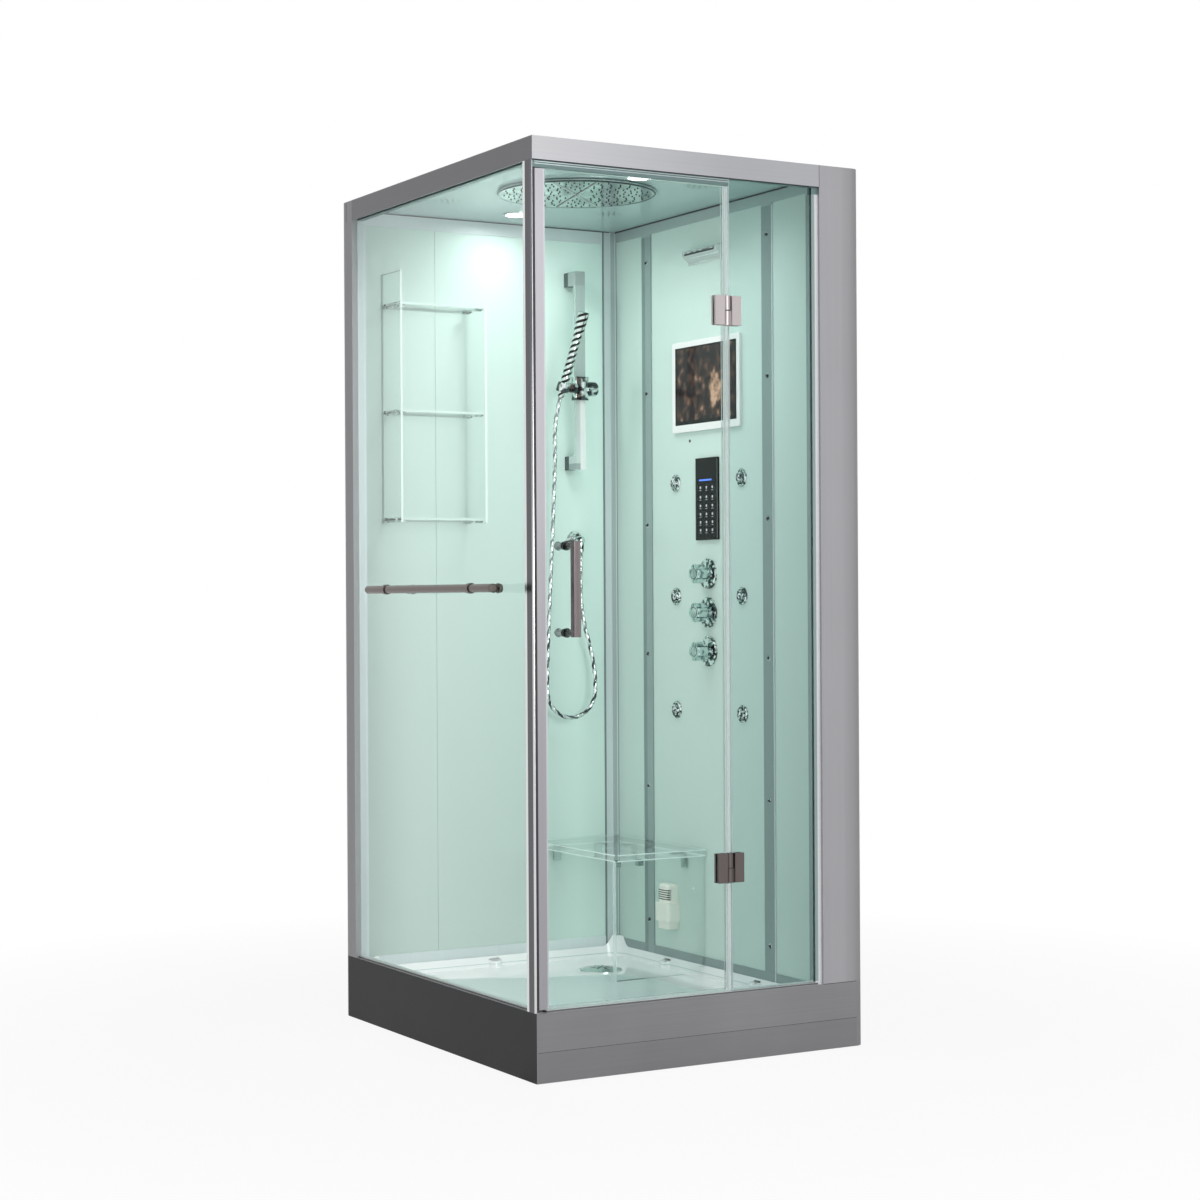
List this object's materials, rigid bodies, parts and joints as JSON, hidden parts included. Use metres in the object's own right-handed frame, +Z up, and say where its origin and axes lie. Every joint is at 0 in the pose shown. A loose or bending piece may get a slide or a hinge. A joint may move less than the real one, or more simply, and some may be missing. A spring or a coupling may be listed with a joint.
{
  "type": "steam shower cabin",
  "caption": "Square free-standing steam shower cabin with framed glass walls, tray base, flat roof, hinged glass door, bench, shelves, jets, mixer knobs and hand shower.",
  "frame": {"origin": "on the floor at the middle of the base footprint, under the centre foot", "axes": "+Z up, +X to the right along the door side, +Y from the door side to the rear wall"},
  "size_m": [0.9815, 1.113, 2.15],
  "materials": {
    "silver_panel": "satin",
    "light_aluminium": "satin",
    "white_acrylic": "polished",
    "clear_glass": "polished",
    "mint_glass": "polished",
    "chrome": "polished",
    "satin_nickel": "satin",
    "black_rubber": "matte",
    "black_glass": "polished",
    "white_plastic": "satin",
    "pale_plastic": "satin",
    "grey_steel": "satin",
    "brass": "satin",
    "dark_plastic": "satin"
  },
  "bodies": {
    "cabin": {"shower_tray": "white_acrylic", "base_skirts": "silver_panel", "front_kick_panel": "silver_panel", "tray_frame": "grey_steel", "levelling_feet": "grey_steel", "drain_body": "white_plastic", "corner_post": "light_aluminium", "corner_columns": "silver_panel", "glass_rails": "light_aluminium", "fixed_glass": "clear_glass", "roof_panel": "pale_plastic", "roof_fascia": "silver_panel", "rain_head": "chrome", "downlights": "chrome", "ceiling_speakers": "dark_plastic", "fan_housing": "dark_plastic", "back_wall_panels": "mint_glass", "back_wall_frame": "light_aluminium", "right_wall_panels": "mint_glass", "right_wall_frame": "light_aluminium", "shelf_side_plates": "clear_glass", "glass_shelves": "clear_glass", "shelf_clips": "chrome", "riser_rail": "chrome", "shower_hose": "chrome", "hose_outlet": "chrome", "monitor_bezel": "white_plastic", "monitor_screen": "black_glass", "control_panel": "black_glass", "valve_plates": "chrome", "valve_manifold": "brass", "jet_rings": "chrome", "waterfall_spout": "chrome", "steam_outlet": "white_plastic", "steam_generator": "grey_steel", "bench_seat": "clear_glass", "bench_leg": "clear_glass", "bench_brackets": "chrome", "hinge_leaves_fixed": "satin_nickel", "towel_rail": "satin_nickel"},
    "door": {"door_glass": "clear_glass", "door_stile": "light_aluminium", "door_seals": "black_rubber", "door_handle": "satin_nickel", "hinge_leaves_door": "satin_nickel"},
    "fan": {"fan_impeller": "dark_plastic"},
    "top_knob": {"valve_knob_top": "chrome"},
    "middle_knob": {"valve_knob_middle": "chrome"},
    "bottom_knob": {"valve_knob_bottom": "chrome"},
    "slider": {"slider": "chrome"},
    "clamp_knob": {"slider_knob": "chrome"},
    "holder": {"handset_holder": "chrome"},
    "handset": {"hand_shower": "chrome"},
    "drain_cover": {"drain_cover": "chrome"},
    "jet_1": {"jet_nozzle_1": "chrome"},
    "jet_2": {"jet_nozzle_2": "chrome"},
    "jet_3": {"jet_nozzle_3": "chrome"},
    "jet_4": {"jet_nozzle_4": "chrome"},
    "jet_5": {"jet_nozzle_5": "chrome"},
    "jet_6": {"jet_nozzle_6": "chrome"}
  },
  "joints": [
    {"name": "door_swing", "type": "hinge", "parent": "cabin", "child": "door", "pos_m": [0.072, -0.5215, 0], "axis": [0, 0, 1], "range_deg": [0, 90]},
    {"name": "fan_spin", "type": "hinge", "parent": "cabin", "child": "fan", "pos_m": [0.17, 0.2, 2.13], "axis": [0, 0, 1], "continuous": true},
    {"name": "top_knob_turn", "type": "hinge", "parent": "cabin", "child": "top_knob", "pos_m": [0.35, -0.003, 1.164], "axis": [-1, 0, 0], "range_deg": [-90, 90]},
    {"name": "middle_knob_turn", "type": "hinge", "parent": "cabin", "child": "middle_knob", "pos_m": [0.35, -0.003, 1.0625], "axis": [-1, 0, 0], "range_deg": [-90, 90]},
    {"name": "bottom_knob_turn", "type": "hinge", "parent": "cabin", "child": "bottom_knob", "pos_m": [0.35, -0.003, 0.961], "axis": [-1, 0, 0], "range_deg": [-120, 120]},
    {"name": "jet_1_swivel", "type": "hinge", "parent": "cabin", "child": "jet_1", "pos_m": [0.352, 0.157, 1.409], "axis": [0, 0, 1], "range_deg": [-12, 12]},
    {"name": "jet_2_swivel", "type": "hinge", "parent": "cabin", "child": "jet_2", "pos_m": [0.352, -0.163, 1.409], "axis": [0, 0, 1], "range_deg": [-12, 12]},
    {"name": "jet_3_swivel", "type": "hinge", "parent": "cabin", "child": "jet_3", "pos_m": [0.352, 0.157, 1.105], "axis": [0, 0, 1], "range_deg": [-12, 12]},
    {"name": "jet_4_swivel", "type": "hinge", "parent": "cabin", "child": "jet_4", "pos_m": [0.352, -0.163, 1.105], "axis": [0, 0, 1], "range_deg": [-12, 12]},
    {"name": "jet_5_swivel", "type": "hinge", "parent": "cabin", "child": "jet_5", "pos_m": [0.352, 0.157, 0.802], "axis": [0, 0, 1], "range_deg": [-12, 12]},
    {"name": "jet_6_swivel", "type": "hinge", "parent": "cabin", "child": "jet_6", "pos_m": [0.352, -0.163, 0.802], "axis": [0, 0, 1], "range_deg": [-12, 12]},
    {"name": "slider_height", "type": "slide", "parent": "cabin", "child": "slider", "axis": [0, 0, 1], "range_m": [-0.15, 0.22], "deforming": ["shower_hose"]},
    {"name": "clamp_knob_turn", "type": "hinge", "parent": "slider", "child": "clamp_knob", "pos_m": [0.2206, 0.4145, 1.677], "axis": [1, 0, 0], "range_deg": [-90, 180]},
    {"name": "holder_tilt", "type": "hinge", "parent": "slider", "child": "holder", "pos_m": [0.179, 0.4, 1.677], "axis": [1, 0, 0], "range_deg": [-10, 45]},
    {"name": "handset_lift", "type": "slide", "parent": "holder", "child": "handset", "axis": [0.1704, -0.2557, 0.9516], "range_m": [0, 0.08]},
    {"name": "drain_cover_lift", "type": "slide", "parent": "cabin", "child": "drain_cover", "axis": [0, 0, 1], "range_m": [0, 0.04]}
  ]
}
